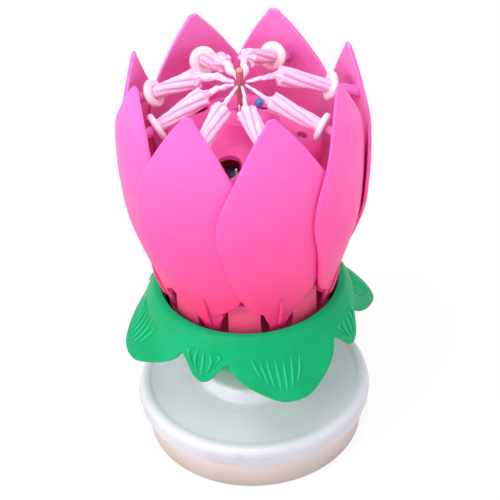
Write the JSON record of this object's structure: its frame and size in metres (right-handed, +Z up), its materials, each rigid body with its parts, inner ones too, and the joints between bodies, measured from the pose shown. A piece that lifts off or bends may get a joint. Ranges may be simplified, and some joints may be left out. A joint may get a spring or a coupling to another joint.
{
  "type": "musical birthday candle",
  "caption": "Musical birthday candle: a lotus flower on a round battery base that turns, with hinged petals that open together and carry small twisted candles.",
  "frame": {"origin": "centre of the base's underside, on the table", "axes": "+Z up along the axis that the flower turns about; the picture looks along +Y"},
  "size_m": [0.0726, 0.0726, 0.1265],
  "materials": {
    "petal_pink": "soft gloss, slightly translucent",
    "cup_white": "soft gloss",
    "candle_wax": "satin wax",
    "waxed_wick": "waxed cotton",
    "base_cream": "satin moulded",
    "cover_white": "milky gloss",
    "bright_steel": "plated",
    "brass_strip": "rolled",
    "gear_white": "natural moulded",
    "leaf_green": "soft gloss",
    "hub_red": "soft gloss",
    "dome_pink": "soft gloss",
    "board_navy": "cast resin",
    "fuse_copper": "dry powder",
    "bead_blue": "dipped resin"
  },
  "bodies": {
    "base": {"base_cup": "base_cream", "base_cover": "cover_white", "battery_door": "base_cream", "door_screw": "bright_steel", "button_cell_1": "bright_steel", "button_cell_2": "bright_steel", "cell_contact_1": "brass_strip", "cell_contact_2": "brass_strip", "switch_housing": "base_cream", "drive_motor": "bright_steel"},
    "flower": {"spindle": "bright_steel", "drive_gear": "gear_white", "leaf_collar": "leaf_green", "flower_hub": "hub_red", "hinge_wire": "bright_steel", "sound_dome": "dome_pink", "music_board": "board_navy", "sounder_disc": "brass_strip", "music_cell": "bright_steel", "fuse": "fuse_copper", "fuse_thread": "waxed_wick", "heat_bead_1": "bead_blue", "heat_bead_2": "bead_blue", "plate_spring": "bright_steel"},
    "petal_unit_1": {"petal_1": "petal_pink", "candle_cup_1": "cup_white", "candle_1": "candle_wax", "wick_1": "waxed_wick"},
    "petal_unit_2": {"petal_2": "petal_pink", "candle_cup_2": "cup_white", "candle_2": "candle_wax", "wick_2": "waxed_wick"},
    "petal_unit_3": {"petal_3": "petal_pink", "candle_cup_3": "cup_white", "candle_3": "candle_wax", "wick_3": "waxed_wick"},
    "petal_unit_4": {"petal_4": "petal_pink", "candle_cup_4": "cup_white", "candle_4": "candle_wax", "wick_4": "waxed_wick"},
    "petal_unit_5": {"petal_5": "petal_pink", "candle_cup_5": "cup_white", "candle_5": "candle_wax", "wick_5": "waxed_wick"},
    "petal_unit_6": {"petal_6": "petal_pink", "candle_cup_6": "cup_white", "candle_6": "candle_wax", "wick_6": "waxed_wick"},
    "petal_unit_7": {"petal_7": "petal_pink", "candle_cup_7": "cup_white", "candle_7": "candle_wax", "wick_7": "waxed_wick"},
    "petal_unit_8": {"petal_8": "petal_pink", "candle_cup_8": "cup_white", "candle_8": "candle_wax", "wick_8": "waxed_wick"},
    "opener": {"opening_plate": "hub_red"},
    "idler": {"idler_gear": "gear_white"},
    "rotor": {"motor_gear": "gear_white"},
    "switch": {"switch_knob": "gear_white"}
  },
  "joints": [
    {"name": "flower_spin", "type": "hinge", "parent": "base", "child": "flower", "pos_m": [0, 0, 0], "axis": [0, 0, 1], "continuous": true},
    {"name": "idler_spin", "type": "hinge", "parent": "base", "child": "idler", "pos_m": [0.01042, 0.00874, 0], "axis": [0, 0, 1], "continuous": true},
    {"name": "motor_spin", "type": "hinge", "parent": "base", "child": "rotor", "pos_m": [0.02039, 0.00071, 0], "axis": [0, 0, 1], "continuous": true},
    {"name": "petal_1_open", "type": "hinge", "parent": "flower", "child": "petal_unit_1", "pos_m": [0.00674, -0.02073, 0.06], "axis": [0.9511, 0.309, 0], "range_deg": [0, 70]},
    {"name": "petal_2_open", "type": "hinge", "parent": "flower", "child": "petal_unit_2", "pos_m": [0.01942, -0.0099, 0.06], "axis": [0.454, 0.891, 0], "range_deg": [0, 70]},
    {"name": "petal_3_open", "type": "hinge", "parent": "flower", "child": "petal_unit_3", "pos_m": [0.02073, 0.00674, 0.06], "axis": [-0.309, 0.9511, 0], "range_deg": [0, 70]},
    {"name": "petal_4_open", "type": "hinge", "parent": "flower", "child": "petal_unit_4", "pos_m": [0.0099, 0.01942, 0.06], "axis": [-0.891, 0.454, 0], "range_deg": [0, 70]},
    {"name": "petal_5_open", "type": "hinge", "parent": "flower", "child": "petal_unit_5", "pos_m": [-0.00674, 0.02073, 0.06], "axis": [-0.9511, -0.309, 0], "range_deg": [0, 70]},
    {"name": "petal_6_open", "type": "hinge", "parent": "flower", "child": "petal_unit_6", "pos_m": [-0.01942, 0.0099, 0.06], "axis": [-0.454, -0.891, 0], "range_deg": [0, 70]},
    {"name": "petal_7_open", "type": "hinge", "parent": "flower", "child": "petal_unit_7", "pos_m": [-0.02073, -0.00674, 0.06], "axis": [0.309, -0.9511, 0], "range_deg": [0, 70]},
    {"name": "petal_8_open", "type": "hinge", "parent": "flower", "child": "petal_unit_8", "pos_m": [-0.0099, -0.01942, 0.06], "axis": [0.891, -0.454, 0], "range_deg": [0, 70]},
    {"name": "plate_rise", "type": "slide", "parent": "flower", "child": "opener", "axis": [0, 0, 1], "range_m": [0, 0.00172], "deforming": ["plate_spring"]},
    {"name": "switch_slide", "type": "slide", "parent": "base", "child": "switch", "axis": [1, 0, 0], "range_m": [0, 0.003]}
  ],
  "couplings": [
    {"joint": "idler_spin", "follows": "flower_spin", "ratio": -2.4},
    {"joint": "motor_spin", "follows": "flower_spin", "ratio": 5.28},
    {"joint": "petal_2_open", "follows": "petal_1_open", "ratio": 1},
    {"joint": "petal_3_open", "follows": "petal_1_open", "ratio": 1},
    {"joint": "petal_4_open", "follows": "petal_1_open", "ratio": 1},
    {"joint": "petal_5_open", "follows": "petal_1_open", "ratio": 1},
    {"joint": "petal_6_open", "follows": "petal_1_open", "ratio": 1},
    {"joint": "petal_7_open", "follows": "petal_1_open", "ratio": 1},
    {"joint": "petal_8_open", "follows": "petal_1_open", "ratio": 1},
    {"joint": "plate_rise", "follows": "petal_1_open", "m_per_rad": 0.0014}
  ]
}
